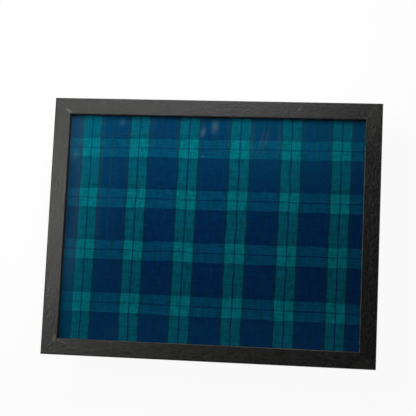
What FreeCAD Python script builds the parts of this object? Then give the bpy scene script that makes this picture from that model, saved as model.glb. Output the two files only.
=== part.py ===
"""Lap tray on a bead cushion: a mitred frame round a tartan panel under a clear sheet.

Millimetres. The origin is the middle of the cushion's underside. +X runs to the right of the
person using the tray, +Y away from them and +Z up. The tray peels off the cushion upwards.
"""
import FreeCAD, Part
import math
import os

Vec = FreeCAD.Vector
UP = Vec(0, 0, 1)
ORIGIN = Vec(0, 0, 0)

# Frame rails: a square moulding with a rebate cut up from its underside
tray_width = 420.0
tray_depth = 330.0
rail_face = 21.0
rail_height = 20.0
rim_height = 8.0
lip_overlap = 7.0
outer_arris = 1.8
inner_arris = 1.0
foot_arris = 0.6
mitre_groove_width = 0.6
mitre_groove_depth = 0.4

# Panel in the rebate, from the top: clear sheet, tartan cloth, board
panel_clearance = 0.5
sheet_thickness = 2.0
cloth_thickness = 0.6
board_thickness = 5.0

# V nails driven up across each mitre, two to a corner
nail_wing = 5.0
nail_thickness = 0.7
nail_length = 8.0
nail_inset = 3.6
nail_spacing = 4.8
corner_nail_count = 2

# Framer's points driven into the rebate wall under the board
point_width = 7.0
point_thickness = 0.6
point_grip = 6.0
point_reach = 8.0
long_rail_point_count = 4
short_rail_point_count = 3

# Hook strips on the board and loop strips on the cushion, one pair near each corner
strip_length = 110.0
strip_width = 20.0
hook_thickness = 1.5
loop_thickness = 1.5
strip_edge_gap = 24.0

# Bead cushion: a flat top panel sewn to a deep under panel
cushion_height = 55.0
cushion_clearance = 4.0
fabric_thickness = 1.2
fill_clearance = 0.3
side_bulge = 8.0
side_draw_in = 7.0
seam_draw_in = 3.0
corner_radius = 30.0
foot_inset = 38.0
underside_draw_in = 4.0
widest_height = 29.0
lower_section_count = 6
upper_section_count = 4

# Cuts run this far past the faces they open
overrun = 1.0

# Sizes that follow from the ones above
rail_wall = rail_face - lip_overlap
rebate_depth = rail_height - rim_height
recess_width = tray_width - 2 * rail_wall
recess_depth = tray_depth - 2 * rail_wall
panel_width = recess_width - 2 * panel_clearance
panel_depth = recess_depth - 2 * panel_clearance
seam_width = recess_width - 2 * (point_reach + cushion_clearance)
seam_depth = recess_depth - 2 * (point_reach + cushion_clearance)
bag_height = cushion_height - fabric_thickness

# Heights of the stack above the floor
loop_bottom = cushion_height
hook_bottom = loop_bottom + loop_thickness
board_bottom = hook_bottom + hook_thickness
cloth_bottom = board_bottom + board_thickness
sheet_bottom = cloth_bottom + cloth_thickness
shelf_level = sheet_bottom + sheet_thickness
rail_bottom = shelf_level - rebate_depth
rail_top = rail_bottom + rail_height

# Each rail's length, its turn about +Z from the front, and how far its outer face stands off the middle
rails = {
    "front_rail": (tray_width, 0, tray_depth / 2),
    "right_rail": (tray_depth, 90, tray_width / 2),
    "back_rail": (tray_width, 180, tray_depth / 2),
    "left_rail": (tray_depth, 270, tray_width / 2),
}


def line(start, end):
    return Part.LineSegment(start, end).toShape()


def arc(start, middle, end):
    return Part.Arc(start, middle, end).toShape()


def prism(points, along):
    """A closed polygon of points drawn out into a solid."""
    return Part.Face(Part.makePolygon(points + points[:1])).extrude(along)


def slab(width, depth, thickness, bottom):
    """A flat sheet centred on the origin, lying at a height."""
    corner = Vec(-width / 2, -depth / 2, bottom)
    return Part.makeBox(width, depth, thickness, corner)


def turned_out(shape, turn, stand_off):
    """A piece drawn against y = 0, moved to its own side of the tray."""
    moved = shape.copy()
    moved.translate(Vec(0, -stand_off, 0))
    moved.rotate(ORIGIN, UP, turn)
    return moved


def rounded(corner, before, after, radius):
    """Where a round edge starts, its middle and where it ends, between two directions of travel."""
    start = corner - before * radius
    end = corner + after * radius
    centre = start + after * radius
    middle = centre + (corner - centre).normalize() * radius
    return start, middle, end


def rail_section(x):
    """The moulding's outline across the rail: outer face on y = 0, the lip reaching over the rebate."""
    right, left, up, down = Vec(0, 1, 0), Vec(0, -1, 0), Vec(0, 0, 1), Vec(0, 0, -1)
    foot = rounded(Vec(x, 0, rail_bottom), down, right, foot_arris)
    inner = rounded(Vec(x, rail_face, rail_top), up, left, inner_arris)
    outer = rounded(Vec(x, 0, rail_top), left, down, outer_arris)
    rebate_foot = Vec(x, rail_wall, rail_bottom)
    rebate_head = Vec(x, rail_wall, shelf_level)
    lip_edge = Vec(x, rail_face, shelf_level)
    return Part.Wire([
        arc(*foot),
        line(foot[2], rebate_foot),
        line(rebate_foot, rebate_head),
        line(rebate_head, lip_edge),
        line(lip_edge, inner[0]),
        arc(*inner),
        line(inner[2], outer[0]),
        arc(*outer),
        line(outer[2], foot[0]),
    ])


def mitre_groove(corner, inwards):
    """The fine V left along a mitre on the rail's upper face."""
    across = inwards.cross(UP)
    start = corner - inwards * overrun
    half = across * (mitre_groove_width / 2)
    outline = [
        start - half + UP * overrun,
        start - half,
        start - UP * mitre_groove_depth,
        start + half,
        start + half + UP * overrun,
    ]
    return prism(outline, inwards * (rail_face * math.sqrt(2) + 2 * overrun))


def rail(length):
    """One rail along X, cut to 45 degrees at both ends."""
    end = length / 2
    bar = Part.Face(rail_section(-end)).extrude(Vec(length, 0, 0))
    plan = [
        Vec(-end, 0, rail_bottom),
        Vec(end, 0, rail_bottom),
        Vec(end - rail_face, rail_face, rail_bottom),
        Vec(-end + rail_face, rail_face, rail_bottom),
    ]
    mitred = bar.common(prism(plan, UP * rail_height))
    for side in (-1, 1):
        corner = Vec(side * end, 0, rail_top)
        inwards = Vec(-side, 1, 0).normalize()
        mitred = mitred.cut(mitre_groove(corner, inwards))
    return mitred


def v_nail(inset):
    """One bent nail on the mitre, seen from a corner at the origin, with a wing in each rail."""
    near = inset - nail_thickness / 2
    far = inset + nail_thickness / 2
    tip = inset + nail_wing
    plan = [
        Vec(near, near, rail_bottom),
        Vec(tip, near, rail_bottom),
        Vec(tip, far, rail_bottom),
        Vec(far, far, rail_bottom),
        Vec(far, tip, rail_bottom),
        Vec(near, tip, rail_bottom),
    ]
    return prism(plan, UP * nail_length)


def corner_nails():
    corners = (
        (-tray_width / 2, -tray_depth / 2, 0),
        (tray_width / 2, -tray_depth / 2, 90),
        (tray_width / 2, tray_depth / 2, 180),
        (-tray_width / 2, tray_depth / 2, 270),
    )
    nails = []
    for x, y, turn in corners:
        for step in range(corner_nail_count):
            nail = v_nail(nail_inset + step * nail_spacing)
            nail.rotate(ORIGIN, UP, turn)
            nail.translate(Vec(x, y, 0))
            nails.append(nail)
    return nails


def framers_point(x):
    """A flat tab with its sharp end in the rebate wall and its blunt end under the board."""
    left, right = x - point_width / 2, x + point_width / 2
    low = board_bottom - point_thickness
    plan = [
        Vec(x, rail_wall - point_grip, low),
        Vec(right, rail_wall, low),
        Vec(right, rail_wall + point_reach, low),
        Vec(left, rail_wall + point_reach, low),
        Vec(left, rail_wall, low),
    ]
    return prism(plan, UP * point_thickness)


def panel_points():
    points = []
    for length, turn, stand_off in rails.values():
        count = long_rail_point_count if length == tray_width else short_rail_point_count
        pitch = (length - 2 * rail_face) / count
        for step in range(count):
            x = (step - (count - 1) / 2) * pitch
            points.append(turned_out(framers_point(x), turn, stand_off))
    return points


def fastening_strips(bottom, thickness):
    """Four strips of tape along X, one near each corner of the cushion's top."""
    across = seam_width / 2 - strip_edge_gap - strip_length / 2
    along = seam_depth / 2 - strip_edge_gap - strip_width / 2
    strips = []
    for x in (-across, across):
        for y in (-along, along):
            strip = slab(strip_length, strip_width, thickness, bottom)
            strip.translate(Vec(x, y, 0))
            strips.append(strip)
    return strips


def side_radius(run, radius, draw_in):
    """Radius of the hollow arc that joins two round corners and comes in by draw_in at its middle."""
    short = radius - draw_in
    return (run * run + short * short - radius * radius) / (2 * draw_in)


def cushion_outline(half_width, half_depth, radius, draw_in, z):
    """A rectangle with round corners and sides that pull in between them, all arcs tangent."""
    run_x, run_y = half_width - radius, half_depth - radius
    hollow_x = side_radius(run_x, radius, draw_in)
    hollow_y = side_radius(run_y, radius, draw_in)
    corner = Vec(run_x, run_y, z)
    back_centre = Vec(0, half_depth - draw_in + hollow_x, z)
    right_centre = Vec(half_width - draw_in + hollow_y, 0, z)
    on_back = corner + (back_centre - corner).normalize() * radius
    on_right = corner + (right_centre - corner).normalize() * radius
    outermost = corner + (on_back + on_right - corner * 2).normalize() * radius

    def at(point, x_sign, y_sign):
        return Vec(point.x * x_sign, point.y * y_sign, z)

    back_middle = Vec(0, half_depth - draw_in, z)
    right_middle = Vec(half_width - draw_in, 0, z)
    return Part.Wire([
        arc(at(on_right, 1, 1), at(outermost, 1, 1), at(on_back, 1, 1)),
        arc(at(on_back, 1, 1), back_middle, at(on_back, -1, 1)),
        arc(at(on_back, -1, 1), at(outermost, -1, 1), at(on_right, -1, 1)),
        arc(at(on_right, -1, 1), at(right_middle, -1, 1), at(on_right, -1, -1)),
        arc(at(on_right, -1, -1), at(outermost, -1, -1), at(on_back, -1, -1)),
        arc(at(on_back, -1, -1), at(back_middle, 1, -1), at(on_back, 1, -1)),
        arc(at(on_back, 1, -1), at(outermost, 1, -1), at(on_right, 1, -1)),
        arc(at(on_right, 1, -1), right_middle, at(on_right, 1, 1)),
    ])


def cushion_section(height, foot_share, seam_share, inset):
    """One level outline of the bag, drawn in from its outer skin by inset."""
    set_in = foot_share * foot_inset + seam_share * side_bulge + inset
    draw_in = (
        foot_share * underside_draw_in
        + seam_share * seam_draw_in
        + (1 - foot_share - seam_share) * side_draw_in
    )
    return cushion_outline(
        seam_width / 2 + side_bulge - set_in,
        seam_depth / 2 + side_bulge - set_in,
        corner_radius - inset,
        draw_in,
        inset + height * (bag_height - inset) / bag_height,
    )


def bag_levels():
    """Height, foot share and seam share up the bag: a quarter ellipse to its widest, one to its seam."""
    levels = []
    for step in range(lower_section_count):
        turn = math.radians(90) * (1 - step / lower_section_count)
        levels.append((widest_height * (1 - math.sin(turn)), 1 - math.cos(turn), 0))
    for step in range(upper_section_count + 1):
        turn = math.radians(90) * step / upper_section_count
        height = widest_height + (bag_height - widest_height) * math.sin(turn)
        levels.append((height, 0, 1 - math.cos(turn)))
    return levels


def bag(inset):
    """The filled bag's form, inset from its outer skin: flat foot, swelling sides, drawn in to the seam."""
    sections = [cushion_section(*level, inset) for level in bag_levels()]
    solid, ruled = True, True
    return Part.makeLoft(sections, solid, ruled)


def cushion_top_panel():
    seam = cushion_section(*bag_levels()[-1], 0)
    return Part.Face(seam).extrude(UP * fabric_thickness)


def cushion_under_panel():
    return bag(0).cut(bag(fabric_thickness))


def bead_fill():
    """The beads as one mass, a hair inside the fabric and just short of the top panel."""
    beads = bag(fabric_thickness + fill_clearance)
    headroom = slab(tray_width, tray_depth, fill_clearance + overrun, bag_height - fill_clearance)
    return beads.cut(headroom)


def build():
    nails = corner_nails()
    points = panel_points()
    parts = {}
    for name, (length, turn, stand_off) in rails.items():
        parts[name] = turned_out(rail(length), turn, stand_off).cut(nails + points)
    parts["corner_v_nails"] = Part.makeCompound(nails)
    parts["framers_points"] = Part.makeCompound(points)
    parts["clear_sheet"] = slab(panel_width, panel_depth, sheet_thickness, sheet_bottom)
    parts["tartan_cloth"] = slab(panel_width, panel_depth, cloth_thickness, cloth_bottom)
    parts["panel_board"] = slab(panel_width, panel_depth, board_thickness, board_bottom)
    parts["hook_strips"] = Part.makeCompound(fastening_strips(hook_bottom, hook_thickness))
    parts["loop_strips"] = Part.makeCompound(fastening_strips(loop_bottom, loop_thickness))
    parts["cushion_top_panel"] = cushion_top_panel()
    parts["cushion_under_panel"] = cushion_under_panel()
    parts["bead_fill"] = bead_fill()
    return parts


os.makedirs("parts", exist_ok=True)
for name, shape in build().items():
    shape.exportStep(f"parts/{name}.step")
    print(f"{name}: {len(shape.Solids)} solids, {shape.Volume / 1000:.1f} cm3, valid {shape.isValid()}")
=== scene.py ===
# %% [markdown]
# # A lap tray with a cushion
#
# The tray is a picture frame laid flat: four mitred black rails round a panel of tartan cloth, with a
# clear sheet over it. A flat bag of beads holds on underneath with hook and loop tape and settles on
# the lap. What a saw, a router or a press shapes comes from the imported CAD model, and this lesson
# dresses it. The soft pieces are made here.
#
# Every cell works in metres, in the frame of the CAD model: X to the user's right, Y away, Z up.

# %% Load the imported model
import math

import bmesh
import bpy
from mathutils import Matrix, Vector


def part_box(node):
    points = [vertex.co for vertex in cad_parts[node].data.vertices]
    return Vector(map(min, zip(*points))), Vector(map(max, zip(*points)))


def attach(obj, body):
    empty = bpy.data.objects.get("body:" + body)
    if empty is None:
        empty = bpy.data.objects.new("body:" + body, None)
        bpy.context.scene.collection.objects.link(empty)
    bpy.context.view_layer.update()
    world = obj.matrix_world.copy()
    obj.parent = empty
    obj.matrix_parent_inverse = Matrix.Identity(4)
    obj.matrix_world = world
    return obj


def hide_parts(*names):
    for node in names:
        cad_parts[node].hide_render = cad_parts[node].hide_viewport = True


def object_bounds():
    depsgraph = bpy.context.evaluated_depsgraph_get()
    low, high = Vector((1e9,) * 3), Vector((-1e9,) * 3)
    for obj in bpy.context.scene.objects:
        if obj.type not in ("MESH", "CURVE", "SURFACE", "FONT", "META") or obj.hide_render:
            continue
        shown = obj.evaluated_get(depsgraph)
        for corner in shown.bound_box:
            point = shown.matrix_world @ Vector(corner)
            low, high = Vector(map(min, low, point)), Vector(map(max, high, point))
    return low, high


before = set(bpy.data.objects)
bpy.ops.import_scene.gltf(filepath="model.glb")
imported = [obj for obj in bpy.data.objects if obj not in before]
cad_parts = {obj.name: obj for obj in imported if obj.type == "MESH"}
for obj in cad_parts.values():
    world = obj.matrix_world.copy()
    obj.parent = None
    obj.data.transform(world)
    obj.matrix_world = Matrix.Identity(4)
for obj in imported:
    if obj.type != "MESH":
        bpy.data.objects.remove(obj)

cad_low, cad_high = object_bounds()
scene = bpy.context.scene
scene.view_settings.view_transform = "Standard"
mm = 0.001
print("CAD nodes:", ", ".join(sorted(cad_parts)))

# %% [markdown]
# ## Writing nodes as arithmetic
#
# A procedural finish is a net of small nodes, and most of them are sums. Placing each by hand hides the
# idea, so `Wire` holds one output socket and lets Python's operators add the Math nodes: `1 - mask`
# means what it says. `Nodes.add` makes every other kind of node from its type, its settings and what
# its sockets take, for finishes, for the world and for Geometry Nodes alike.

# %% A socket that does sums


class Wire:
    """One output socket, with arithmetic that adds Math nodes."""

    def __init__(self, nodes, socket):
        self.nodes = nodes
        self.socket = socket

    def maths(self, operation, *terms):
        return self.nodes.add("ShaderNodeMath", dict(enumerate(terms)), operation=operation)

    def __add__(self, other):
        return self.maths("ADD", self, other)

    def __sub__(self, other):
        return self.maths("SUBTRACT", self, other)

    def __rsub__(self, other):
        return self.maths("SUBTRACT", other, self)

    def __mul__(self, other):
        return self.maths("MULTIPLY", self, other)

    def __truediv__(self, other):
        return self.maths("DIVIDE", self, other)

    def __pow__(self, other):
        return self.maths("POWER", self, other)

    def __abs__(self):
        return self.maths("ABSOLUTE", self)

    __radd__ = __add__
    __rmul__ = __mul__

    def most(self, other):
        return self.maths("MAXIMUM", self, other)

    def floor(self):
        return self.maths("FLOOR", self)

    def fraction(self):
        return self.maths("FRACT", self)

    def rise(self, low, high):
        """0 below low, 1 above high, smooth between."""
        sockets = {"Value": self, "From Min": low, "From Max": high}
        return self.nodes.add("ShaderNodeMapRange", sockets, interpolation_type="SMOOTHSTEP")

    def band(self, low, high, edge):
        """1 between low and high, 0 outside."""
        return self.rise(low - edge, low + edge) - self.rise(high - edge, high + edge)


# %% A net of nodes


class Nodes:
    """A node tree while it is being wired."""

    def __init__(self, tree):
        self.tree = tree
        self.tree.nodes.clear()

    def add(self, kind, sockets=None, out=0, **settings):
        node = self.tree.nodes.new(kind)
        for name, value in settings.items():
            setattr(node, name, value)
        for name, value in (sockets or {}).items():
            wires = value if isinstance(value, list) else [value]
            if isinstance(wires[0], Wire):
                for wire in wires:
                    self.tree.links.new(wire.socket, node.inputs[name])
            else:
                node.inputs[name].default_value = value
        return Wire(self, node.outputs[out]) if len(node.outputs) else node

    def xyz(self, vector):
        return [self.add("ShaderNodeSeparateXYZ", {0: vector}, out=axis) for axis in "XYZ"]

    def stretched(self, vector, x, y, z):
        return self.add("ShaderNodeVectorMath", {0: vector, 1: (x, y, z)}, operation="MULTIPLY")

    def moved(self, vector, x, y, z):
        return self.add("ShaderNodeVectorMath", {0: vector, 1: (x, y, z)}, operation="ADD")

    def mix(self, factor, colour_a, colour_b, blend="MIX"):
        sockets = {0: factor, 6: colour_a, 7: colour_b}
        return self.add("ShaderNodeMix", sockets, out=2, data_type="RGBA", blend_type=blend)

    def noise(self, vector, scale, detail=2.0, roughness=0.5):
        sockets = {"Vector": vector, "Scale": scale, "Detail": detail, "Roughness": roughness}
        return self.add("ShaderNodeTexNoise", sockets)


# %% A finish


class Finish(Nodes):
    """A material. Object coordinates are metres in the CAD frame: every piece sits at the origin."""

    def __init__(self, name):
        self.material = bpy.data.materials.new(name)
        self.material.use_nodes = True
        super().__init__(self.material.node_tree)
        self.place = self.add("ShaderNodeTexCoord", out="Object")

    def shaded(self, colour, tone):
        """A colour times a number."""
        grey = self.add("ShaderNodeCombineColor", {0: tone, 1: tone, 2: tone})
        return self.mix(1.0, colour, grey, "MULTIPLY")

    def bump(self, height, depth):
        return self.add("ShaderNodeBump", {"Height": height, "Distance": depth}, out="Normal")

    def smear(self, mark, wobble, core=0.45):
        """An uneven spot: its middle, turn in degrees, half length and half width in mm, strength."""
        x, y, turn, half_length, half_width, strength = mark
        spot = {
            "Vector": self.place,
            "Location": (x * mm, y * mm, 0),
            "Rotation": (0, 0, math.radians(turn)),
            "Scale": (half_length * mm, half_width * mm, 1),
        }
        across, along, _ = self.xyz(self.add("ShaderNodeMapping", spot, vector_type="TEXTURE"))
        reach = (across * across + along * along) ** 0.5
        return (1 - (reach + wobble).rise(core, 1.2)) * strength

    def smears(self, marks, wobble, core=0.45):
        """Several of them, the strongest at each place."""
        strongest, *others = [self.smear(mark, wobble, core) for mark in marks]
        for other in others:
            strongest = strongest.most(other)
        return strongest

    def surface(self, shader):
        self.add("ShaderNodeOutputMaterial", {"Surface": shader})
        return self.material

    def principled(self, **sockets):
        named = {name.replace("_", " "): value for name, value in sockets.items()}
        return self.surface(self.add("ShaderNodeBsdfPrincipled", named))


def dress(material, *nodes):
    """Gives CAD nodes their finish."""
    for node in nodes:
        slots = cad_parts[node].data.materials
        slots.clear()
        slots.append(material)
    print(material.name, "on", ", ".join(nodes))


# %% [markdown]
# ## The camera
#
# The four corners of the rim fix where the photographer stood: almost over the tray, a little to the
# right and in front of it, about a metre and a half up. A camera can be aimed by trial and error, but
# solving for the corners gives the place and the lens at once, so the numbers below are that solution.

# %% Camera
camera_place = Vector((0.1762, -0.1297, 1.4495))
camera_aim = Vector((-0.12938, 0.11217, -0.98523)).normalized()
camera_right = camera_aim.cross(Vector((-0.0304, 0.99267, 0.11701))).normalized()
camera_up = camera_right.cross(camera_aim)

camera = bpy.data.objects.new("camera", bpy.data.cameras.new("camera"))
scene.collection.objects.link(camera)
turn = Matrix((camera_right, camera_up, -camera_aim)).transposed()
camera.matrix_world = Matrix.Translation(camera_place) @ turn.to_4x4()
camera.data.sensor_width = 36.0
camera.data.lens = 95.98
scene.camera = camera

# %% Where the rim's corners land in the picture
picture_side = 416
rim_x, rim_y, rim_z = cad_high
for x in (-rim_x, rim_x):
    for y in (-rim_y, rim_y):
        ray = Vector((x, y, rim_z)) - camera_place
        scale = camera.data.lens / camera.data.sensor_width / ray.dot(camera_aim) * picture_side
        across = picture_side / 2 + ray.dot(camera_right) * scale
        down = picture_side / 2 - ray.dot(camera_up) * scale
        print(f"rim corner {x:+.3f} {y:+.3f} lands on pixel {across:.1f}, {down:.1f}")

# %% [markdown]
# ## Floor and light
#
# The tray stands on white paper. Two small softboxes, one to the left and one behind, put the soft glow
# on the satin rails, which dies away towards the near right corner. A lamp close over the back rail
# lights the cloth and falls off across it, and a weaker one fills the near left corner. A clear sheet
# turns grey when it mirrors a lamp. A photographer moves the lamps or adds a polarising filter. Here
# the close lamps make no highlight, light linking keeps the softboxes off the sheet, and the room
# overhead is dark. Low lamps all round reach under the rim.

# %% Floor
floor_half = 6.0
corners = [(-floor_half, -floor_half), (floor_half, -floor_half)]
corners += [(floor_half, floor_half), (-floor_half, floor_half)]
floor_mesh = bpy.data.meshes.new("floor")
floor_height = -0.5 * mm
floor_mesh.from_pydata([(x, y, floor_height) for x, y in corners], [], [(0, 1, 2, 3)])
floor = bpy.data.objects.new("floor", floor_mesh)
scene.collection.objects.link(floor)

paper = Finish("white_paper")
glow = paper.add("ShaderNodeEmission", {"Color": (1, 1, 1, 1), "Strength": 1.0})
matt = paper.add("ShaderNodeBsdfDiffuse", {"Color": (0.9, 0.9, 0.9, 1)})


def seen_by_eye(nodes):
    """1 for what the camera sees straight, mirrored in a gloss or through something clear."""
    rays = ("Is Camera Ray", "Is Glossy Ray", "Is Transmission Ray")
    straight, mirrored, through = [nodes.add("ShaderNodeLightPath", out=ray) for ray in rays]
    return straight.most(mirrored).most(through)


paper_white = 0.94
floor_mesh.materials.append(paper.surface(
    paper.add("ShaderNodeMixShader", {0: seen_by_eye(paper) * paper_white, 1: matt, 2: glow})
))
print("floor", floor_half * 2, "m square")

# %% World
world = bpy.data.worlds.new("studio")
scene.world = world
world.use_nodes = True
room = Nodes(world.node_tree)
_, _, climb = room.xyz(room.add("ShaderNodeTexCoord", out="Generated"))
dark_ceiling = (0.010, 0.010, 0.010, 1)
pale_wall = (0.42, 0.42, 0.42, 1)
white_wall = (1, 1, 1, 1)
lit_walls = room.mix(climb.rise(-0.1, 0.75), pale_wall, dark_ceiling)
# a straight look meets white further up than a mirrored one
straight_look = room.add("ShaderNodeLightPath", out="Is Camera Ray") * 0.30
white_walls = room.mix((climb - straight_look).rise(0.02, 0.27), white_wall, dark_ceiling)
shown = room.mix(seen_by_eye(room), lit_walls, white_walls)
room.add("ShaderNodeOutputWorld", {"Surface": room.add("ShaderNodeBackground", {"Color": shown})})
print("world nodes:", len(world.node_tree.nodes))

# %% Lamps


def softbox(name, place, aim, side, watts):
    lamp = bpy.data.lights.new(name, "AREA")
    lamp.size = side
    lamp.energy = watts
    box = bpy.data.objects.new(name, lamp)
    scene.collection.objects.link(box)
    box.location = place
    box.rotation_euler = (Vector(aim) - Vector(place)).to_track_quat("-Z", "Y").to_euler()
    box.visible_camera = False
    print(name, "at", place, "gives", watts, "W")
    return box


tray_middle = (0, 0, 0.06)
left_softbox = softbox("left_softbox", (-0.7325, 0.1353, 1.10), tray_middle, 0.30, 2.56)
left_softbox.data.color = (1.0, 0.995, 0.95)
back_softbox = softbox("back_softbox", (-0.1000, 0.5327, 0.70), tray_middle, 0.42, 1.31)
back_softbox.data.shape = "RECTANGLE"
back_softbox.data.size_y = 0.30
overhead = softbox("overhead_lamp", (-0.06, 0.27, 0.40), (-0.06, 0.22, 0.0), 0.25, 1.46)
side_lamp = softbox("side_lamp", (-0.42, -0.02, 0.38), (-0.15, -0.08, 0.065), 0.25, 0.48)
overhead.visible_glossy = side_lamp.visible_glossy = False

# %% No mirror image of a softbox in the clear sheet
unlit = bpy.data.collections.new("softboxes_skip")
unlit.objects.link(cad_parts["clear_sheet"])
unlit.collection_objects[0].light_linking.link_state = "EXCLUDE"
for box in (left_softbox, back_softbox):
    box.light_linking.receiver_collection = unlit

# %% Low lamps for the sides and the cushion
low_height, low_reach, low_watts = 0.03, 1.2, 6.5
low_sides = {"front": (0, -low_reach), "back": (0, low_reach)}
low_sides.update(left=(-low_reach, 0), right=(low_reach, 0))
for side, place in low_sides.items():
    low_lamp = softbox(side + "_low_lamp", (*place, low_height), (0, 0, low_height), 0.60, low_watts)
    low_lamp.data.shape = "RECTANGLE"
    low_lamp.data.size_y = 0.05
    low_lamp.visible_glossy = False

# %% [markdown]
# ## Satin black rails
#
# Stained and lacquered hardwood: nearly black, with the grain running along each rail, a soft gloss
# that flecks and pores break up, and paler filler rubbed into the mitres. Only the top has its full
# coat. Hands have rubbed the outer arris thin, the outer walls show their open grain, and the inner
# walls got little lacquer. The back rail's inner wall is made wholly matt, which darkens it as painted
# shade. Grain can be painted by hand, but noise that is stretched
# along the rail gives it at any size. The four rails come from different lengths of wood, so each has
# its own stretch, gloss and relief. The marks of wear sit where the photograph shows them, and a long
# pale line along the front rail's inner arris is a painted highlight.

# %% Marks of wear on the rails, and a painted highlight
# centre x and y, turn in degrees, half length and half width in mm, strength
filler_and_highlight_marks = [
    (-191.4, 147.7, -34, 5.2, 1.9, 1.00),
    (-192.3, -145.6, 84, 5.0, 2.7, 1.00),
    (-200.5, -155.5, 45, 13.0, 1.1, 0.26),
    (-182.6, -149.2, -19, 8.0, 1.1, 0.70),
    (-203.0, 159.0, -43, 4.2, 0.9, 0.70),
    (202.9, 156.6, 52, 2.4, 0.8, 0.40),
    (195.4, 149.8, 40, 3.4, 0.8, 0.34),
    (106.6, 154.7, 30, 3.4, 2.4, 0.36),
    (-143.0, 154.0, 0, 6.0, 1.6, 0.12),
    (198.6, 130.4, 80, 1.6, 1.2, 0.26),
    (196.0, -158.0, 20, 11.0, 6.0, 0.07),
    (200.0, 141.0, 88, 26.0, 9.0, 0.09),
    # a painted highlight: a long pale line along the front rail's inner arris
    (112.0, -144.6, 0, 84.0, 0.9, 0.42),
    (-148.0, 159.3, 5, 5.0, 2.4, 0.28),
    (-163.8, 156.0, 60, 3.5, 2.0, 0.16),
]
print(len(filler_and_highlight_marks), "marks")

# %% The rails' finish
stained_black = (0.0120, 0.0119, 0.0116, 1)
bare_wood = (0.055, 0.054, 0.052, 1)
filler_and_highlight_grey = (0.082, 0.083, 0.076, 1)
dust_grey = (0.12, 0.12, 0.115, 1)
diagonal = 0.5 ** 0.5


def satin_black_wood(name, grain, satin, relief, bare_and_shaded_wall):
    finish = Finish(name)
    place = finish.place
    x, y, z = finish.xyz(place)
    fibres = finish.noise(finish.stretched(place, *grain), 1.0, 4.0, 0.62)
    pores = finish.noise(finish.stretched(place, *(3.2 * step for step in grain)), 1.0, 2.0)
    mottle = finish.noise(finish.stretched(place, *(max(step, 230.0) for step in grain)), 1.0, 2.0, 0.6)
    fleck = finish.noise(place, 420.0, 2.0, 0.6)
    waves = finish.noise(place, 150.0, 1.0)
    cloud = finish.noise(place, 34.0, 3.0, 0.55)
    speck = finish.noise(place, 1100.0, 1.0)
    dust = speck.rise(0.68, 0.74) * cloud.rise(0.40, 0.62)

    from_outside_x = rim_x - abs(x)
    from_outside_y = rim_y - abs(y)
    off_mitre = abs(from_outside_x - from_outside_y) * diagonal
    mitre = (1 - off_mitre.rise(0.25 * mm, 0.75 * mm)) * z.rise(72.6 * mm, 73.3 * mm)
    filler_and_highlight = mitre * mottle.rise(0.36, 0.66) * 0.42
    # filler in the mitres and pale marks, one of them a painted highlight
    filler_and_highlight = filler_and_highlight.most(finish.smears(filler_and_highlight_marks, (mottle - 0.5) * 0.9))

    stain = mottle.rise(0.32, 0.72) * (0.1 + cloud * 0.6) + fibres.rise(0.40, 0.70) * 0.5
    stain = stain + fleck.rise(0.42, 0.70) * 1.1
    black = finish.shaded(stained_black, 0.10 + stain)
    worn = finish.mix(dust * 0.30, black, dust_grey)
    colour = finish.mix(filler_and_highlight, worn, filler_and_highlight_grey)
    roughness = satin - 0.20 + fibres * 0.10 + mottle * 0.30 + filler_and_highlight * 0.20 + dust * 0.15
    height = fibres * 0.38 + pores * 0.40 + mottle * 0.48 + waves * 0.22 + filler_and_highlight * 0.6
    lacquer = finish.add("ShaderNodeBsdfPrincipled", {
        "Base Color": colour,
        "Roughness": roughness,
        "Specular IOR Level": 1.0,
        "Normal": finish.bump(height, relief * mm),
    })
    bare = finish.add("ShaderNodeBsdfDiffuse", {"Color": finish.shaded(bare_wood, stain)})
    at_edge = from_outside_x.rise(0.9 * mm, 1.5 * mm) * from_outside_y.rise(0.9 * mm, 1.5 * mm)
    rubbed_bare = (1 - at_edge) * z.rise(71.5 * mm, 72.2 * mm) * 0.6
    below_the_top = 1 - z.rise(71.6 * mm, 72.6 * mm)
    lengthwise = [14.0 if step == min(grain) else 780.0 for step in grain]
    strands = finish.noise(finish.stretched(place, *lengthwise), 1.0, 3.0, 0.6)
    open_grain = (1 - at_edge) * below_the_top * (0.22 + strands.rise(0.34, 0.66) * 0.45)
    inner_wall = from_outside_x.rise(15 * mm, 16 * mm) * from_outside_y.rise(15 * mm, 16 * mm)
    # painted shade: the back rail's inner wall, fully bare and matt, stands in for the shade that falls
    # on it
    unlacquered = rubbed_bare.most(open_grain).most(inner_wall * below_the_top * bare_and_shaded_wall)
    return finish.surface(finish.add("ShaderNodeMixShader", {0: unlacquered, 1: lacquer, 2: bare}))


# grain per metre along x, y and z, roughness, relief in mm, how bare the inner wall is
# (the back one wholly bare, as painted shade)
rail_lengths = {
    "back": ((120.0, 300.0, 300.0), 0.40, 0.52, 1.0),
    "left": ((430.0, 16.0, 430.0), 0.41, 0.42, 0.3),
    "front": ((90.0, 360.0, 360.0), 0.39, 0.44, 0.3),
    "right": ((430.0, 90.0, 430.0), 0.34, 0.38, 0.3),
}
for side, wood in rail_lengths.items():
    dress(satin_black_wood("satin_black_" + side, *wood), side + "_rail")
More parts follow.
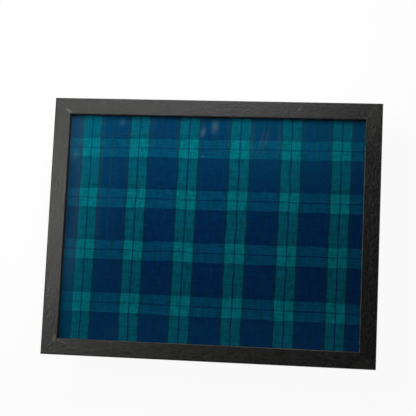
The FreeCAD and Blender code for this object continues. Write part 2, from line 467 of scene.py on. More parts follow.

# %% [markdown]
# ## Tartan cloth
#
# The same run of stripes lies in the warp and in the weft, mirrored about the middle of each green
# pair. So a single number, the distance from the nearest pair, says which stripe a thread belongs to,
# and no stripe has to be drawn twice. Where warp and weft cross, the eye sees a blend, and each blend
# gets its own colour. The weave itself is a twill: every thread goes over two and under two, one step
# further along on each row. A cloth that is laid by hand never lies true, so the stripes bend a little.
# Light is painted into the cloth too: it is paler towards the near edge, more so on the right, and the
# black warp turns brown along the left and at the back.

# %% The cloth as a thin sheet on the board
cloth_low, cloth_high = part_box("tartan_cloth")
cloth_size = cloth_high - cloth_low
cloth_shape = bmesh.new()
bmesh.ops.create_grid(cloth_shape, x_segments=130, y_segments=100, size=0.5)
for vertex in cloth_shape.verts:
    x, y = vertex.co.x * cloth_size.x, vertex.co.y * cloth_size.y
    ripple = math.sin(x * 61 + 2 * math.sin(y * 40)) * math.sin(y * 53 + 1.3 * math.sin(x * 35))
    vertex.co = (x, y, cloth_high.z - 0.06 * mm + 0.04 * mm * ripple)
cloth_mesh = bpy.data.meshes.new("tartan_weave")
cloth_shape.to_mesh(cloth_mesh)
cloth_shape.free()
cloth_mesh.shade_smooth()
cloth = bpy.data.objects.new("tartan_weave", cloth_mesh)
scene.collection.objects.link(cloth)
thickness = cloth.modifiers.new("thickness", "SOLIDIFY")
thickness.thickness = 0.45 * mm
thickness.offset = -1.0
print("cloth", [round(side / mm, 1) for side in cloth_size], "mm")

# %% The run of stripes, from the middle of a green pair outwards
warp_repeat, warp_pair_x = 64.98 * mm, 30.34 * mm
weft_repeat, weft_pair_y = 67.07 * mm, 37.89 * mm
stripe_edge = 0.35 * mm
centre_line_to = 0.9 * mm
green_to = 12.1 * mm
black_to = 18.1 * mm
navy_to = 27.6 * mm
fine_black_to = 30.1 * mm


def stripes(across, pair, repeat):
    """Masks for green and for black thread. What is left is navy."""
    distance = abs(((across - pair) / repeat + 0.5).fraction() - 0.5) * repeat
    green = distance.band(centre_line_to, green_to, stripe_edge)
    black = distance.band(green_to, black_to, stripe_edge)
    fine_black = distance.band(navy_to, fine_black_to, stripe_edge)
    return green, black + fine_black


# %% How the cloth was laid: a little askew, and pulled tighter along the left and in the middle
hand = 100 * mm


def askew(x, y):
    """How far the stripes lie from a true grid."""
    x, y = x / hand, y / hand
    across = x * (1.48 - x * x * 0.92) + x * x * 0.33 + y * 1.04
    away = x * y * 0.54 - y * y * 1.06
    return across * mm, away * mm


# %% What the eye sees where warp lies on weft
navy_on_navy = (0.0005, 0.0205, 0.086, 1)
green_on_navy = (0.0010, 0.0810, 0.118, 1)
black_on_navy = (0.0009, 0.0240, 0.066, 1)
# the brown blends are the black warp under painted light, used along the left and at the back
brown_on_navy = (0.0085, 0.0225, 0.062, 1)
navy_on_green = (0.0007, 0.0535, 0.125, 1)
green_on_green = (0.0010, 0.1430, 0.171, 1)
black_on_green = (0.0009, 0.0510, 0.092, 1)
brown_on_green = (0.0085, 0.0500, 0.086, 1)
black_weft = (0.0010, 0.0150, 0.045, 1)

# %% The cloth's finish
thread_pitch = 0.62 * mm
most_sway = 3.2 * mm


def tartan():
    finish = Finish("tartan_twill")
    place = finish.place
    x, y, _ = finish.xyz(place)
    sway_x = finish.noise(finish.stretched(place, 5, 14, 1), 2.2)
    sway_y = finish.noise(finish.moved(finish.stretched(place, 14, 5, 1), 7, 3, 1), 2.2)
    askew_x, askew_y = askew(x, y)
    x = x - askew_x + (sway_x - 0.5) * most_sway
    y = y - askew_y + (sway_y - 0.5) * most_sway
    warp_green, warp_black = stripes(x, warp_pair_x, warp_repeat)
    weft_green, weft_black = stripes(y, weft_pair_y, weft_repeat)

    # painted light: the black warp is tinted brown along the left and at the back, standing in for
    # light there
    along_the_left = (1 - x.rise(-0.175, -0.085)) * y.rise(-0.06, 0.02)
    brown_light_cast = along_the_left.most(y.rise(0.08, 0.125) * 0.45)
    on_navy = finish.mix(warp_green, navy_on_navy, green_on_navy)
    on_navy = finish.mix(warp_black, on_navy, finish.mix(brown_light_cast, black_on_navy, brown_on_navy))
    on_green = finish.mix(warp_green, navy_on_green, green_on_green)
    on_green = finish.mix(warp_black, on_green, finish.mix(brown_light_cast, black_on_green, brown_on_green))
    blend = finish.mix(weft_green, on_navy, on_green)
    blend = finish.mix(weft_black * 0.16, blend, black_weft)

    column, row = x / thread_pitch, y / thread_pitch
    warp_over = ((column.floor() + row.floor()) * 0.25).fraction().rise(0.47, 0.53)
    warp_round = 1 - (column.fraction() * 2 - 1) ** 2.0
    weft_round = 1 - (row.fraction() * 2 - 1) ** 2.0
    weave = weft_round + (warp_round - weft_round) * warp_over
    slub_warp = finish.noise(finish.stretched(place, 800, 50, 1), 1.0, 3.0)
    slub_weft = finish.noise(finish.stretched(place, 50, 800, 1), 1.0, 3.0)
    blotch = finish.noise(place, 210.0, 2.0)
    tone = 0.80 + (slub_warp - 0.5) * (0.85 + warp_green * 0.60)
    tone = tone + (slub_weft - 0.5) * (0.85 + weft_green * 0.60) + (blotch - 0.5) * 0.60 + weave * 0.30
    # painted light: the cloth is made paler towards the near edge, more so on the right, standing in
    # for light that falls there
    painted_light_at_front = 1 - y.rise(-0.138, -0.070)
    tone = tone * (1 + painted_light_at_front * (0.27 + x * 0.40))
    return finish.principled(
        Base_Color=finish.shaded(blend, tone),
        Roughness=0.86,
        Specular_IOR_Level=0.0,
        Normal=finish.bump(weave, 0.10 * mm),
    )


cloth_mesh.materials.append(tartan())
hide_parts("tartan_cloth")
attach(cloth, "tray")
print("tartan nodes:", len(cloth_mesh.materials[0].node_tree.nodes))

# %% [markdown]
# ## Clear sheet
#
# Two millimetres of clear acrylic, cut to the rebate. Real refraction through a solid sheet is slow and
# turns the cloth dark at low angles, so the sheet is a mix instead: clear, with a reflection that grows
# towards low angles as it does on any smooth plastic. Wiping leaves a few smears and some fine
# scratches, which scatter a trace of light. Over them a glare is painted on the sheet as a faint blue
# and grey diffuse haze: thickest along the left and at the back, with more by the near part of the left
# rail, at the back right and along the near edge.

# %% The clear sheet's finish
# centre x and y, turn in degrees, half length and half width in mm, strength
sheet_smears = [
    (-1.4, 132.5, 86, 12.0, 7.5, 1.15),
    (-16.4, 125.5, 70, 10.0, 5.0, 1.15),
    (-121.5, 136.0, 75, 8.0, 5.5, 0.65),
    (-79.7, 135.0, 84, 9.0, 5.5, 0.22),
    (-182.0, 91.0, 72, 11.0, 7.0, 0.75),
    (-106.0, 103.0, -40, 12.0, 1.6, 0.40),
    (-118.0, -133.0, 8, 22.0, 8.0, 0.30),
]
sheet_scratches = [
    (-111.0, 121.3, 1, 62.0, 0.8, 0.50),
    (-137.5, 99.2, 1, 12.0, 0.8, 0.50),
    (64.5, 115.5, 78, 25.0, 2.0, 0.45),
    (57.8, 113.0, 76, 25.0, 2.0, 0.42),
    (80.5, 113.0, 88, 27.0, 2.2, 0.30),
    (47.0, 114.0, 90, 27.0, 2.2, 0.30),
]
glare_blue = (0.0, 0.60, 0.88, 1)
smear_and_glare_pale = (0.40, 0.74, 0.95, 1)
scratch_brown = (0.80, 0.40, 0.28, 1)
soft_all_through = -0.3


def clear_acrylic():
    finish = Finish("clear_acrylic")
    place = finish.place
    x, y, _ = finish.xyz(place)
    streaks = finish.noise(finish.stretched(place, 60, 160, 1), 1.0, 4.0, 0.6)
    wobble = streaks - 0.5
    smears = finish.smears(sheet_smears, wobble, soft_all_through)
    scratches = finish.smears(sheet_scratches, wobble, soft_all_through)
    back_left = (x * -0.25 + y * 2.0).rise(-0.05, 0.42)
    dust = finish.noise(place, 750.0, 1.0).rise(0.62, 0.74) * (0.4 + back_left)
    # painted light: a faint glare over the cloth, drawn as diffuse colour on the sheet: strongest at
    # the back left, with more at the back right, along the left side, by the near part of the left rail
    # and along the near edge
    back_right = x.rise(-0.02, 0.06) * y.rise(0.03, 0.13)
    left_edge = (1 - x.rise(-0.19, -0.09)) * y.rise(-0.16, -0.02)
    by_the_rail = (1 - x.rise(-0.188, -0.158)) * (1 - y.rise(-0.07, 0.03))
    painted_light_at_front = 1 - y.rise(-0.138, -0.070)
    painted_glare = back_left * (0.019 + streaks.rise(0.45, 0.75) * 0.010) + back_right * 0.016
    painted_glare = painted_glare + left_edge * (0.012 + streaks * 0.014) + by_the_rail * 0.034 + painted_light_at_front * 0.008
    # painted light: a grey tint in the glare along the left rail, from a little in front of the middle
    # to the back
    grey = (1 - x.rise(-0.180, -0.166)) * y.rise(-0.11, -0.04) * (0.10 + streaks * 0.40)
    # real smears, scratches and dust, together with the painted glare
    smudges_and_glare = smears * 0.048 + scratches * 0.030 + painted_glare + dust * 0.010
    facing = finish.add("ShaderNodeLayerWeight", {"Blend": 0.5}, out="Facing")
    reflected = 0.04 + 0.96 * facing ** 5.0
    clear = finish.add("ShaderNodeBsdfTransparent", {"Color": (0.985, 0.992, 0.990, 1)})
    gloss = finish.add("ShaderNodeBsdfGlossy", {"Color": (1, 1, 1, 1), "Roughness": 0.05})
    pale = finish.mix(smears.most(grey), glare_blue, smear_and_glare_pale)
    pale = finish.mix(scratches, pale, scratch_brown)
    grease_and_glare = finish.add("ShaderNodeBsdfDiffuse", {"Color": pale})
    sheet = finish.add("ShaderNodeMixShader", {0: reflected, 1: clear, 2: gloss})
    return finish.surface(finish.add("ShaderNodeMixShader", {0: smudges_and_glare, 1: sheet, 2: grease_and_glare}))


dress(clear_acrylic(), "clear_sheet")

# %% [markdown]
# ## The underside of the panel
#
# Turned over, the panel is brown fibreboard: wood fibre pressed smooth, with a scatter of dark and pale
# fibres in every direction. A photograph of board would do, but it repeats and shows its edges. Two
# layers of noise, stretched at a right angle to each other, give fibres that never repeat.

# %% Fibreboard


def fibreboard():
    finish = Finish("fibreboard")
    place = finish.place
    fibres = finish.noise(finish.stretched(place, 1100, 210, 400), 1.0, 3.0, 0.6)
    crosswise = finish.moved(finish.stretched(place, 210, 1100, 400), 3, 1, 2)
    cross_fibres = finish.noise(crosswise, 1.0, 3.0, 0.6)
    cloud = finish.noise(place, 22.0, 3.0)
    scuff = finish.noise(finish.stretched(place, 40, 300, 40), 1.0, 3.0)
    tone = 0.55 + cloud * 0.45 + fibres * 0.25 + cross_fibres * 0.2
    brown = finish.shaded((0.34, 0.205, 0.110, 1), tone)
    flecked = finish.mix(fibres.rise(0.60, 0.68) * 0.55, brown, (0.115, 0.062, 0.030, 1))
    flecked = finish.mix(cross_fibres.rise(0.60, 0.69) * 0.50, flecked, (0.55, 0.39, 0.235, 1))
    colour = finish.mix(scuff.rise(0.62, 0.74) * 0.25, flecked, (0.60, 0.46, 0.31, 1))
    return finish.principled(
        Base_Color=colour,
        Roughness=0.50 + fibres * 0.18 + cloud * 0.10,
        Specular_IOR_Level=0.40,
        Normal=finish.bump(fibres * 0.5 + cross_fibres * 0.5, 0.10 * mm),
    )


dress(fibreboard(), "panel_board")

# %% [markdown]
# ## Steel points and V nails
#
# A framer's points are punched from thin strip and pressed into the rebate to hold the panel up. V
# nails pull each mitre together from below. Both are zinc plated: grey, faintly crystalline, brushed by
# the punch. A single metal colour looks like plastic, so the zinc's crystals change the tone and the
# brushing the gloss.

# %% Zinc plated steel


def zinc_plate():
    finish = Finish("zinc_plate")
    place = finish.place
    crystals = finish.add("ShaderNodeTexVoronoi", {"Vector": place, "Scale": 900.0}, out="Color")
    crystal, _, _ = finish.xyz(crystals)
    brushing = finish.noise(finish.stretched(place, 500, 4200, 4200), 1.0, 2.0)
    tarnish = finish.noise(place, 260.0, 3.0).rise(0.50, 0.72)
    bright = finish.shaded((0.60, 0.60, 0.61, 1), 0.74 + crystal * 0.24 + brushing * 0.14)
    return finish.principled(
        Base_Color=finish.mix(tarnish * 0.5, bright, (0.24, 0.235, 0.225, 1)),
        Metallic=1.0,
        Roughness=0.24 + brushing * 0.18 + tarnish * 0.20,
        Normal=finish.bump(brushing, 0.03 * mm),
    )


dress(zinc_plate(), "framers_points", "corner_v_nails")

# %% [markdown]
# ## Growing what repeats
#
# Hooks, loops and stitches are one small shape many times over. Copies placed in a Python loop would be
# slow to make and hard to change, so Geometry Nodes grow them: a tree takes a path and a few named
# sizes, and puts the shape along it. `Growth` gives every tree the same start and end. `grow` runs a
# tree on a path and keeps the result as a plain mesh.

# %% A tree that grows a shape along a path


class Growth(Nodes):
    """A Geometry Nodes tree: a path and named sizes in, one dressed mesh out."""

    def __init__(self, name, **sizes):
        tree = bpy.data.node_groups.new(name, "GeometryNodeTree")
        super().__init__(tree)
        tree.interface.new_socket("Geometry", in_out="OUTPUT", socket_type="NodeSocketGeometry")
        tree.interface.new_socket("Path", in_out="INPUT", socket_type="NodeSocketGeometry")
        for size, kind in sizes.items():
            tree.interface.new_socket(size, in_out="INPUT", socket_type="NodeSocket" + kind)
        tree.interface.new_socket("Finish", in_out="INPUT", socket_type="NodeSocketMaterial")
        self.inlet = tree.nodes.new("NodeGroupInput")

    def given(self, *names):
        return [Wire(self, self.inlet.outputs[name]) for name in names]

    def vector(self, x, y, z):
        return self.add("ShaderNodeCombineXYZ", {0: x, 1: y, 2: z})

    def thread(self, start, rise, fall, end, radius):
        """A bent piece of thread, four sided and capped."""
        points = {"Resolution": 5, "Start": start, "Start Handle": rise, "End Handle": fall, "End": end}
        line = self.add("GeometryNodeCurvePrimitiveBezierSegment", points)
        section = self.add("GeometryNodeCurvePrimitiveCircle", {"Resolution": 4, "Radius": radius})
        sweep = {"Curve": line, "Profile Curve": section, "Fill Caps": True}
        return self.add("GeometryNodeCurveToMesh", sweep)

    def done(self, geometry):
        finish, = self.given("Finish")
        real = self.add("GeometryNodeRealizeInstances", {"Geometry": geometry})
        dressed = self.add("GeometryNodeSetMaterial", {"Geometry": real, "Material": finish})
        self.add("NodeGroupOutput", {"Geometry": dressed})


# %% Run a tree and keep the mesh


def grow(growth, name, points, edges, **sizes):
    path = bpy.data.meshes.new(name + "_path")
    path.from_pydata(points, edges, [])
    piece = bpy.data.objects.new(name, path)
    scene.collection.objects.link(piece)
    modifier = piece.modifiers.new("growth", "NODES")
    modifier.node_group = growth.tree
    for socket in growth.tree.interface.items_tree:
        if socket.name in sizes and socket.in_out == "INPUT":
            modifier[socket.identifier] = sizes[socket.name]
    grown = bpy.data.meshes.new_from_object(piece.evaluated_get(bpy.context.evaluated_depsgraph_get()))
    piece.modifiers.clear()
    piece.data = grown
    grown.shade_smooth()
    print(name, len(grown.polygons), "faces")
    return piece


# %% [markdown]
# ## Hook and loop tape
#
# The tape that holds the cushion has two faces: stiff hooks moulded on one strip, soft loops knitted on
# the other. Both are a band with hundreds of bent threads standing on it, so one tree makes both, and
# the four handles of the thread's curve decide whether it closes into a loop or ends as a hook. The
# hook strips hang from the board and are turned over for it.

# %% The tape tree
tape = Growth(
    "tape", Length="Float", Width="Float", Band="Float",
    Lengthwise="Int", Crosswise="Int", Thread="Float",
    Start="Vector", Rise="Vector", Fall="Vector", End="Vector", Turn="Float", Over="Vector",
)
length, width, band = tape.given("Length", "Width", "Band")
lengthwise, crosswise, thread = tape.given("Lengthwise", "Crosswise", "Thread")
turn_most, over, strip_middles = tape.given("Turn", "Over", "Path")

band_size = {"Size": tape.vector(length, width, band)}
band_mesh_steps = {"Vertices X": 90, "Vertices Y": 18, "Vertices Z": 3}
flat_band = tape.add("GeometryNodeMeshCube", {**band_size, **band_mesh_steps})
here = tape.add("GeometryNodeInputPosition")
woven = tape.stretched(tape.moved(tape.add(
    "ShaderNodeTexNoise", {"Vector": here, "Scale": 420.0}, out="Color"
), -0.5, -0.5, -0.5), 0.5 * mm, 0.6 * mm, 0.06 * mm)
lifted = tape.add("ShaderNodeVectorMath", {0: woven, 1: tape.vector(0, 0, band * 0.5)}, operation="ADD")
band_mesh = tape.add("GeometryNodeSetPosition", {"Geometry": flat_band, "Offset": lifted})

selvedges = 3 * mm
field_size = {"Size X": length - selvedges, "Size Y": width - selvedges}
field_steps = {"Vertices X": lengthwise, "Vertices Y": crosswise}
field = tape.add("GeometryNodeMeshGrid", {**field_size, **field_steps})
stray = 0.22 * mm
strays = {0: (-stray, -stray, 0), 1: (stray, stray, 0), "Seed": 3}
jitter = tape.add("FunctionNodeRandomValue", strays, data_type="FLOAT_VECTOR")
rooted = tape.add("ShaderNodeVectorMath", {0: jitter, 1: tape.vector(0, 0, band)}, operation="ADD")
roots = tape.add("GeometryNodeSetPosition", {"Geometry": field, "Offset": rooted})
turned = tape.add("FunctionNodeRandomValue", {2: turn_most * -1.0, 3: turn_most, "Seed": 5}, out=1)
height = tape.add("FunctionNodeRandomValue", {2: 0.80, 3: 1.0, "Seed": 8}, out=1)
pile = tape.add("GeometryNodeInstanceOnPoints", {
    "Points": roots,
    "Instance": tape.thread(*tape.given("Start", "Rise", "Fall", "End"), thread),
    "Rotation": tape.vector(0, 0, turned),
    "Scale": tape.vector(1, 1, height),
})
strip = tape.add("GeometryNodeJoinGeometry", {"Geometry": [band_mesh, pile]})
tape.done(tape.add("GeometryNodeInstanceOnPoints", {
    "Points": strip_middles, "Instance": strip, "Rotation": over,
}))
print("tape tree:", len(tape.tree.nodes), "nodes")

# %% The tapes' finishes


def black_nylon(name, colour, roughness):
    finish = Finish(name)
    place = finish.place
    x, y, _ = finish.xyz(place)
    ribs = ((x / (0.9 * mm)).fraction() * 2 - 1) ** 2.0
    picks = ((y / (0.7 * mm)).fraction() * 2 - 1) ** 2.0
    lint = finish.noise(place, 900.0, 2.0).rise(0.63, 0.70)
    shade = finish.noise(place, 120.0, 3.0)
    dyed = finish.shaded(colour, 0.62 + shade * 0.76)
    return finish.principled(
        Base_Color=finish.mix(lint * 0.30, dyed, (0.20, 0.20, 0.21, 1)),
        Roughness=roughness + shade * 0.18,
        Normal=finish.bump(ribs * 0.5 + picks * 0.5, 0.12 * mm),
    )


hook_nylon = black_nylon("hook_nylon", (0.026, 0.026, 0.028, 1), 0.34)
loop_nylon = black_nylon("loop_nylon", (0.034, 0.034, 0.037, 1), 0.62)

# %% Four strips of each
_, hook_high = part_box("hook_strips")
loop_low, loop_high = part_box("loop_strips")
strip_length, strip_width = 110 * mm, 20 * mm
strip_x = loop_high.x - strip_length / 2
strip_y = loop_high.y - strip_width / 2
strip_places = [(x, y) for x in (-strip_x, strip_x) for y in (-strip_y, strip_y)]
strip_band = 0.5 * mm


def in_mm(x, y, z):
    return x * mm, y * mm, z * mm


hook_tape = grow(
    tape, "hook_tape", [(x, y, hook_high.z) for x, y in strip_places], [],
    Length=strip_length, Width=strip_width, Band=strip_band,
    Lengthwise=62, Crosswise=10, Thread=0.16 * mm,
    Start=in_mm(0, 0, -0.1), Rise=in_mm(-0.1, 0, 0.9),
    Fall=in_mm(0.75, 0, 1.35), End=in_mm(0.72, 0, 0.30),
    Turn=0.25, Over=(math.pi, 0, 0), Finish=hook_nylon,
)
loop_tape = grow(
    tape, "loop_tape", [(x, y, loop_low.z) for x, y in strip_places], [],
    Length=strip_length, Width=strip_width, Band=strip_band,
    Lengthwise=74, Crosswise=13, Thread=0.11 * mm,
    Start=in_mm(-0.3, 0, -0.1), Rise=in_mm(-1.1, 0, 1.15),
    Fall=in_mm(1.1, 0, 1.15), End=in_mm(0.3, 0, -0.1),
    Turn=3.1, Over=(0, 0, 0), Finish=loop_nylon,
)
for piece, node, body in ((hook_tape, "hook_strips", "tray"), (loop_tape, "loop_strips", "cushion")):
    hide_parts(node)
    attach(piece, body)

# %% [markdown]
# ## The cushion
#
# A bag of black cotton, sewn from a flat top panel and a deep panel below, and filled with small
# polystyrene beads. The beads press the sides out, the corners stay full, and the weight of the tray
# leaves the foot flat. Sculpting such a bag by hand rarely gives the little gathers under a seam. Cloth
# under air pressure makes them by itself, so the bag starts as a plain stack of rings, its top and foot
# are held, and the cloth between is cut a little too large to let it buckle. The top panel, which the
# board presses flat, gets a little slack between the strips afterwards.

# %% Rings of the bag
_, bag_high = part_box("cushion_under_panel")
_, top_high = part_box("cushion_top_panel")
bag_corner = 30 * mm
widest_height = 29 * mm
foot_inset = 38 * mm
hollow_at_foot, hollow_at_middle, hollow_at_seam = 4 * mm, 7 * mm, 3 * mm
steps_along_x, steps_along_y, steps_round_corner = 16, 12, 10


def bag_ring(half_x, half_y, hollow, height):
    """A rectangle with round corners, its sides drawn in between them."""
    run_x, run_y = half_x - bag_corner, half_y - bag_corner
    quarter = []
    for step in range(steps_along_y + 1):
        share = step / steps_along_y
        drawn = hollow * (0.5 + 0.5 * math.cos(math.pi * share))
        quarter.append((half_x - drawn, run_y * share))
    for step in range(1, steps_round_corner):
        turn = math.radians(90 * step / steps_round_corner)
        quarter.append((run_x + bag_corner * math.cos(turn), run_y + bag_corner * math.sin(turn)))
    for step in range(steps_along_x + 1):
        share = 1 - step / steps_along_x
        drawn = hollow * (0.5 + 0.5 * math.cos(math.pi * share))
        quarter.append((run_x * share, half_y - drawn))
    ring = []
    for side_x, side_y in ((1, 1), (-1, 1), (-1, -1), (1, -1)):
        points = quarter if side_x * side_y > 0 else quarter[::-1]
        ring += [(side_x * x, side_y * y, height) for x, y in points[:-1]]
    return ring


# %% The bag before it is filled
seam_half_x, seam_half_y = top_high.x, top_high.y
bulge = bag_high.x - seam_half_x
seam_height = top_high.z - 0.1 * mm
rings_below, rings_above = 9, 7
quarter_turn = math.radians(90)
bag_rings = []
for step in range(rings_below + 1):
    foot = 1 - math.cos(quarter_turn * (1 - step / rings_below))
    height = widest_height * (1 - math.sin(quarter_turn * (1 - step / rings_below)))
    inset = foot * foot_inset
    hollow = foot * hollow_at_foot + (1 - foot) * hollow_at_middle
    bag_rings.append(bag_ring(bag_high.x - inset, bag_high.y - inset, hollow, height))
for step in range(1, rings_above + 1):
    seam = 1 - math.cos(quarter_turn * step / rings_above)
    height = widest_height + (seam_height - widest_height) * math.sin(quarter_turn * step / rings_above)
    hollow = seam * hollow_at_seam + (1 - seam) * hollow_at_middle
    bag_rings.append(bag_ring(bag_high.x - seam * bulge, bag_high.y - seam * bulge, hollow, height))

bag_shape = bmesh.new()
loops = [[bag_shape.verts.new(point) for point in ring] for ring in bag_rings]
for lower, upper in zip(loops, loops[1:]):
    for at in range(len(lower)):
        after = (at + 1) % len(lower)
        bag_shape.faces.new((lower[at], lower[after], upper[after], upper[at]))
bag_shape.faces.new(loops[0][::-1])
bag_shape.faces.new(loops[-1])
bag_mesh = bpy.data.meshes.new("cushion_bag")
bag_shape.to_mesh(bag_mesh)
bag_shape.free()
bag = bpy.data.objects.new("cushion_bag", bag_mesh)
scene.collection.objects.link(bag)
print(len(bag_rings), "rings of", len(bag_rings[0]), "points")

# %% Even cloth
held_at_seam, held_at_foot = 1.5 * mm, 0.8 * mm
bag_mesh.remesh_voxel_size = 4.2 * mm
with bpy.context.temp_override(object=bag, active_object=bag, selected_objects=[bag]):
    bpy.ops.object.voxel_remesh()
unfilled = [vertex.co.copy() for vertex in bag.data.vertices]
held_points = [
    at for at, point in enumerate(unfilled)
    if point.z > seam_height - held_at_seam or point.z < held_at_foot
]
bag.vertex_groups.new(name="held").add(held_points, 1.0, "REPLACE")
print("cloth of", len(unfilled), "points,", len(held_points), "of them held")

# %% Fill it
most_moved = 10 * mm
filling_frames = 24


def fill_with_beads():
    cloth = bag.modifiers.new("filling", "CLOTH")
    fabric = cloth.settings
    fabric.quality = 5
    fabric.mass = 0.3
    fabric.air_damping = 1.0
    fabric.tension_stiffness = fabric.compression_stiffness = 30.0
    fabric.shear_stiffness = 5.0
    fabric.bending_stiffness = 0.3
    fabric.shrink_min = -0.016
    fabric.use_pressure = True
    fabric.uniform_pressure_force = 8.0
    fabric.effector_weights.gravity = 0.0
    fabric.vertex_group_mass = "held"
    fabric.pin_stiffness = 1.0
    cloth.collision_settings.use_collision = False
    cloth.point_cache.frame_start = 1
    cloth.point_cache.frame_end = filling_frames
    for frame_number in range(1, filling_frames + 1):
        scene.frame_set(frame_number)
    filled = bpy.data.meshes.new_from_object(bag.evaluated_get(bpy.context.evaluated_depsgraph_get()))
    bag.modifiers.clear()
    bag.data = filled
    scene.frame_set(1)
    for vertex, start in zip(filled.vertices, unfilled):
        moved = vertex.co - start
        if moved.length > most_moved:
            vertex.co = start + moved * (most_moved / moved.length)
        vertex.co.z = min(max(vertex.co.z, 0.0), seam_height)


fill_with_beads()
print("filled")

# %% Slack in the top panel, flat under the strips
slack_depth = 0.9 * mm
flat_margin = 6 * mm
seam_margin = 8 * mm


def away_from(place, middle, half):
    """How far a place lies outside a span."""
    return max(abs(place - middle) - half, 0.0)


for vertex in bag.data.vertices:
    x, y, z = vertex.co
    beside = away_from(abs(x), strip_x, strip_length / 2)
    beyond = away_from(abs(y), strip_y, strip_width / 2)
    to_strip = math.hypot(beside, beyond)
    to_seam = min(seam_half_x - abs(x), seam_half_y - abs(y)) - seam_margin
    loose = min(max(min(to_strip, to_seam) / flat_margin, 0.0), 1.0)
    wave = math.sin(x * 62 + 2.2 * math.sin(y * 41)) * math.sin(y * 71 + 2.0 * math.sin(x * 33))
    if z > seam_height - held_at_seam:
        vertex.co.z = z - slack_depth * loose * (0.5 + 0.5 * wave)
bag.data.shade_smooth()
smoothing = bag.modifiers.new("smoothing", "SUBSURF")
smoothing.levels = smoothing.render_levels = 1
print("bag", [round(side / mm) for side in bag.dimensions], "mm")

# %% [markdown]
# ## Black cotton
#
# Plain weave: each thread goes over one and under one. On a bag the cloth faces every way, so the weave
# is laid from three sides and blended by where the surface faces. Beads dimple it from inside, lint
# gathers on it, and the dye is a little paler along the seam where it rubs.

# %% The cotton's finish
cotton_pitch = 0.85 * mm


def plain_weave(across, along):
    column, row = across / cotton_pitch, along / cotton_pitch
    over = ((column.floor() + row.floor()) * 0.5).fraction().rise(0.2, 0.3)
    column_round = 1 - (column.fraction() * 2 - 1) ** 2.0
    row_round = 1 - (row.fraction() * 2 - 1) ** 2.0
    return row_round + (column_round - row_round) * over


def black_cotton():
    finish = Finish("black_cotton")
    place = finish.place
    x, y, z = finish.xyz(place)
    facing = [abs(side) for side in finish.xyz(finish.add("ShaderNodeNewGeometry", out="Normal"))]
    from_x, from_y, from_z = [side ** 4.0 for side in facing]
    weave = plain_weave(y, z) * from_x + plain_weave(x, z) * from_y + plain_weave(x, y) * from_z
    weave = weave / (from_x + from_y + from_z)
    slub = finish.noise(finish.stretched(place, 90, 90, 900), 1.0, 3.0)
    cross_slub = finish.noise(finish.stretched(place, 900, 200, 90), 1.0, 3.0)
    fading = finish.noise(place, 26.0, 3.0)
    lint = finish.noise(finish.stretched(place, 700, 500, 700), 1.0, 2.0).rise(0.66, 0.72)
    beads = finish.add("ShaderNodeTexVoronoi", {"Vector": place, "Scale": 290.0}, feature="SMOOTH_F1")
    rubbed = z.rise(50.5 * mm, 53.5 * mm) * (1 - z.rise(54.6 * mm, 54.85 * mm))
    tone = 0.40 + weave * 0.30 + slub * 0.30 + cross_slub * 0.25 + fading * 0.35 + rubbed * fading * 0.7
    dyed = finish.shaded((0.042, 0.043, 0.047, 1), tone)
    return finish.principled(
        Base_Color=finish.mix(lint * 0.22, dyed, (0.20, 0.20, 0.20, 1)),
        Roughness=0.86 + slub * 0.10,
        Specular_IOR_Level=0.30,
        Sheen_Weight=0.25,
        Sheen_Roughness=0.45,
        Normal=finish.bump(weave * 0.22 + (1 - beads) * 0.75 + slub * 0.15, 0.55 * mm),
    )


cotton = black_cotton()
bag.data.materials.clear()
bag.data.materials.append(cotton)
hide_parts("cushion_under_panel", "cushion_top_panel", "bead_fill")
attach(bag, "cushion")
print("cotton nodes:", len(cotton.node_tree.nodes))

# %% [markdown]
# ## Seam and stitches
#
# The two panels meet in a rolled seam round the edge, with a row of top stitching beside it that keeps
# the turned edge flat. The loop strips are sewn on round their own edges. A seam follows a path and
# stitches repeat along one, so both are grown.

# %% The seam tree and the sewing tree
rolled_seam = Growth("rolled_seam", Radius="Float", Pucker="Float")
seam_path, roll_radius, pucker = rolled_seam.given("Path", "Radius", "Pucker")
seam_line = rolled_seam.add("GeometryNodeMeshToCurve", {"Mesh": seam_path})
seam_steps = {"Curve": seam_line, "Length": 2.2 * mm}
even_line = rolled_seam.add("GeometryNodeResampleCurve", seam_steps, mode="LENGTH")
uneven = rolled_seam.add("ShaderNodeTexNoise", {"Scale": 160.0}, out="Color")
shifts = rolled_seam.moved(uneven, -0.5, -0.5, -0.5)
shifts = rolled_seam.add("ShaderNodeVectorMath", {0: shifts, "Scale": pucker}, operation="SCALE")
puckered = rolled_seam.add("GeometryNodeSetPosition", {"Geometry": even_line, "Offset": shifts})
roll = rolled_seam.add("GeometryNodeCurvePrimitiveCircle", {"Resolution": 10, "Radius": roll_radius})
rolled_seam.done(rolled_seam.add("GeometryNodeCurveToMesh", {"Curve": puckered, "Profile Curve": roll}))

sewing = Growth("sewing", Pitch="Float", Stitch="Float", Height="Float", Thread="Float")
sewn_path, pitch, stitch, arch, yarn = sewing.given("Path", "Pitch", "Stitch", "Height", "Thread")
sewn_line = sewing.add("GeometryNodeMeshToCurve", {"Mesh": sewn_path})
hole_steps = {"Curve": sewn_line, "Length": pitch}
needle_holes = sewing.add("GeometryNodeResampleCurve", hole_steps, mode="LENGTH")
one_stitch = sewing.thread(
    sewing.vector(stitch * -0.5, 0, 0), sewing.vector(stitch * -0.35, 0, arch * 1.34),
    sewing.vector(stitch * 0.35, 0, arch * 1.34), sewing.vector(stitch * 0.5, 0, 0), yarn,
)
along_line = sewing.add("GeometryNodeInputTangent")
aligned = {"Vector": along_line}
aim = sewing.add("FunctionNodeAlignRotationToVector", aligned, axis="X", pivot_axis="Z")
stitches = {"Points": needle_holes, "Instance": one_stitch, "Rotation": aim}
sewing.done(sewing.add("GeometryNodeInstanceOnPoints", stitches))
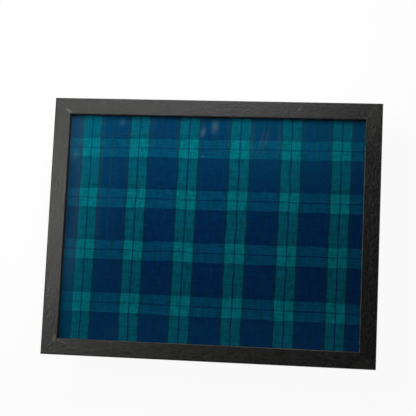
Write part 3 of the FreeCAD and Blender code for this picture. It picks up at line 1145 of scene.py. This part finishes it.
print("seam and sewing trees:", len(rolled_seam.tree.nodes), "and", len(sewing.tree.nodes), "nodes")

# %% Closed paths for both


def closed(points):
    return [(at, (at + 1) % len(points)) for at in range(len(points))]


def joined_paths(rings):
    """Several closed rings as one set of points and edges."""
    points, edges = [], []
    for ring in rings:
        edges += [(a + len(points), b + len(points)) for a, b in closed(ring)]
        points += ring
    return points, edges


seam_ring = bag_ring(seam_half_x, seam_half_y, hollow_at_seam, seam_height - 0.7 * mm)
top_stitch_inset = 5 * mm
top_ring = bag_ring(
    seam_half_x - top_stitch_inset, seam_half_y - top_stitch_inset,
    hollow_at_seam, seam_height - 0.05 * mm,
)
strip_rings = []
strip_stitch_inset = 1.6 * mm
for x, y in strip_places:
    half_l = strip_length / 2 - strip_stitch_inset
    half_w = strip_width / 2 - strip_stitch_inset
    near = [(x - half_l, y - half_w), (x + half_l, y - half_w)]
    far = [(x + half_l, y + half_w), (x - half_l, y + half_w)]
    strip_rings.append([(a, b, loop_low.z + strip_band) for a, b in near + far])
print(len(seam_ring), "points round the seam")

# %% Grow the seam and the stitches


def sewing_thread():
    finish = Finish("sewing_thread")
    twist = finish.noise(finish.stretched(finish.place, 2600, 2600, 2600), 1.0, 2.0)
    return finish.principled(
        Base_Color=finish.shaded((0.060, 0.061, 0.066, 1), 0.6 + twist * 0.8),
        Roughness=0.42 + twist * 0.25,
        Normal=finish.bump(twist, 0.05 * mm),
    )


thread_finish = sewing_thread()
cushion_seam = grow(
    rolled_seam, "cushion_seam", seam_ring, closed(seam_ring),
    Radius=1.0 * mm, Pucker=0.9 * mm, Finish=cotton,
)
sewn = {"Pitch": 3.4 * mm, "Stitch": 2.7 * mm, "Height": 0.28 * mm, "Thread": 0.2 * mm}
sewn["Finish"] = thread_finish
top_stitches = grow(sewing, "top_stitches", top_ring, closed(top_ring), **sewn)
strip_stitches = grow(sewing, "strip_stitches", *joined_paths(strip_rings), **sewn)
for piece in (cushion_seam, top_stitches, strip_stitches):
    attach(piece, "cushion")
